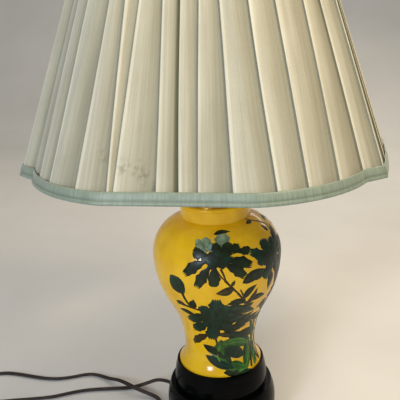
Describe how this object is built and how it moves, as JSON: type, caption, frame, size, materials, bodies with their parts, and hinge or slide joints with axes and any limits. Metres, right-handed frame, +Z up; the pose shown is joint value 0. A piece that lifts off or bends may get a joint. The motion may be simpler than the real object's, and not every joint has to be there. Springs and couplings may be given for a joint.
{
  "type": "ceramic table lamp",
  "caption": "Table lamp with a glazed baluster vase on a turned base, a harp, a screw socket with a turn switch and a pleated cloth shade with cut corners.",
  "frame": {"origin": "on the table under the lamp's axis", "axes": "+Z up, the shade's front panel faces -Y, the flex leaves towards -X"},
  "size_m": [0.5237, 0.4114, 0.5922],
  "materials": {
    "lacquered_wood": "gloss lacquer",
    "felt": "felt",
    "black_plastic": "moulded",
    "zinc_steel": "zinc plated",
    "gasket_rubber": "moulded",
    "yellow_glaze": "gloss glaze",
    "brass": "lacquered",
    "harp_brass": "plated wire",
    "card": "pressed card",
    "moulded_phenolic": "moulded",
    "bulb_metal": "rolled",
    "bulb_black_glass": "fused glass",
    "bulb_glass": "frosted",
    "shade_cloth": "pleated",
    "shade_lining": "plain weave",
    "shade_binding": "satin",
    "shade_wire": "white coated wire",
    "flex_vinyl": "extruded twin flex",
    "tie_plastic": "strap"
  },
  "bodies": {
    "lamp": {"wood_base": "lacquered_wood", "felt_pad": "felt", "cord_bushing": "black_plastic", "base_washer": "zinc_steel", "base_nut": "zinc_steel", "threaded_rod": "zinc_steel", "seat_gasket": "gasket_rubber", "vase_body": "yellow_glaze", "vase_cap": "brass", "neck_tube": "brass", "harp_saddle": "harp_brass", "saddle_nut": "zinc_steel", "socket_cap": "brass", "socket_shell": "brass", "socket_liner": "card", "socket_body": "moulded_phenolic", "terminal_screws": "zinc_steel", "screw_shell": "brass", "centre_contact": "brass", "inner_cord": "flex_vinyl", "lamp_cord": "flex_vinyl", "cord_coil": "flex_vinyl", "cord_tail": "flex_vinyl", "cord_tie": "tie_plastic", "plug_body": "flex_vinyl", "plug_blades": "brass"},
    "switch": {"switch_stem": "brass", "switch_knob": "black_plastic"},
    "bulb": {"bulb_contact": "bulb_metal", "bulb_insulator": "bulb_black_glass", "bulb_base": "bulb_metal", "bulb_glass": "bulb_glass", "bulb_filament": "bulb_glass"},
    "harp": {"harp_wire": "harp_brass", "harp_stud": "harp_brass"},
    "ferrule_left": {"harp_ferrule_left": "harp_brass"},
    "ferrule_right": {"harp_ferrule_right": "harp_brass"},
    "shade": {"shade_pleats": "shade_cloth", "shade_lining": "shade_lining", "shade_bottom_binding": "shade_binding", "shade_top_binding": "shade_binding", "shade_bottom_ring": "shade_wire", "shade_top_ring": "shade_wire", "shade_ribs": "shade_wire", "shade_spider": "shade_wire"},
    "finial": {"finial": "brass"}
  },
  "joints": [
    {"name": "switch_turn", "type": "hinge", "parent": "lamp", "child": "switch", "pos_m": [0, 0, 0.3382], "axis": [0, -1, 0], "continuous": true},
    {"name": "bulb_turn", "type": "hinge", "parent": "lamp", "child": "bulb", "pos_m": [0, 0, 0.348], "axis": [0, 0, 1], "continuous": true},
    {"name": "harp_lift", "type": "slide", "parent": "lamp", "child": "harp", "axis": [0, 0, 1], "range_m": [0, 0.025]},
    {"name": "ferrule_left_slide", "type": "slide", "parent": "harp", "child": "ferrule_left", "axis": [0, 0, 1], "range_m": [0, 0.014]},
    {"name": "ferrule_right_slide", "type": "slide", "parent": "harp", "child": "ferrule_right", "axis": [0, 0, 1], "range_m": [0, 0.014]},
    {"name": "shade_turn", "type": "hinge", "parent": "harp", "child": "shade", "pos_m": [0, 0, 0.5571], "axis": [0, 0, 1], "continuous": true},
    {"name": "finial_turn", "type": "hinge", "parent": "harp", "child": "finial", "pos_m": [0, 0, 0.5571], "axis": [0, 0, 1], "continuous": true}
  ]
}
